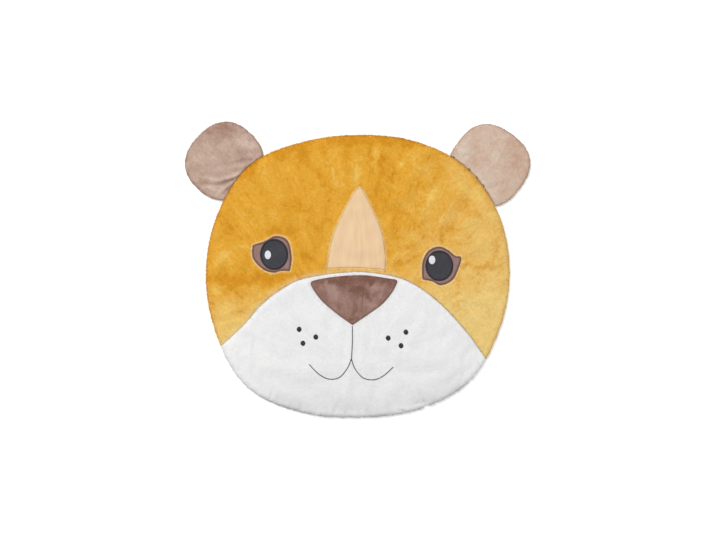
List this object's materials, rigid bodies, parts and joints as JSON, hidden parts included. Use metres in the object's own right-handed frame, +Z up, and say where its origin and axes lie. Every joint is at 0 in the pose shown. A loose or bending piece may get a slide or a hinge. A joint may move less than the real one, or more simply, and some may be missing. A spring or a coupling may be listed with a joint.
{
  "type": "lion-shaped play mat",
  "caption": "Thin filled plush play mat shaped as a lion's face, with flat ears, a sewn muzzle panel, applied blaze, nose and eyes, and an embroidered mouth.",
  "frame": {"origin": "middle of the mat's bounding box, on the floor plane under it", "axes": "+Z up out of the face, +Y towards the top of the head, +X to the right as seen when looking down at the face"},
  "size_m": [0.9928, 0.851, 0.0188],
  "materials": {
    "yellow_plush": "golden yellow short-pile plush, brushed in patches",
    "white_plush": "white short-pile plush",
    "ear_plush": "greyish pink-brown short-pile plush with folds",
    "peach_satin": "smooth peach cloth with fine upright lines",
    "brown_plush": "brown short-pile plush, mottled",
    "rim_plush": "mauve-brown cloth with a stitched edge",
    "slate_thread": "dense dark slate embroidery",
    "white_thread": "dense white embroidery",
    "grey_thread": "dark grey stitched line",
    "black_thread": "black satin-stitched dots"
  },
  "bodies": {
    "root": {"head_panel": "yellow_plush", "muzzle_panel": "white_plush", "ear_left": "ear_plush", "ear_right": "ear_plush", "blaze": "peach_satin", "nose": "brown_plush", "eye_rim_left": "rim_plush", "eye_iris_left": "slate_thread", "eye_highlight_left": "white_thread", "eye_rim_right": "rim_plush", "eye_iris_right": "slate_thread", "eye_highlight_right": "white_thread", "mouth_line": "grey_thread", "whisker_dot_left_1": "black_thread", "whisker_dot_left_2": "black_thread", "whisker_dot_left_3": "black_thread", "whisker_dot_right_1": "black_thread", "whisker_dot_right_2": "black_thread", "whisker_dot_right_3": "black_thread"}
  },
  "joints": []
}
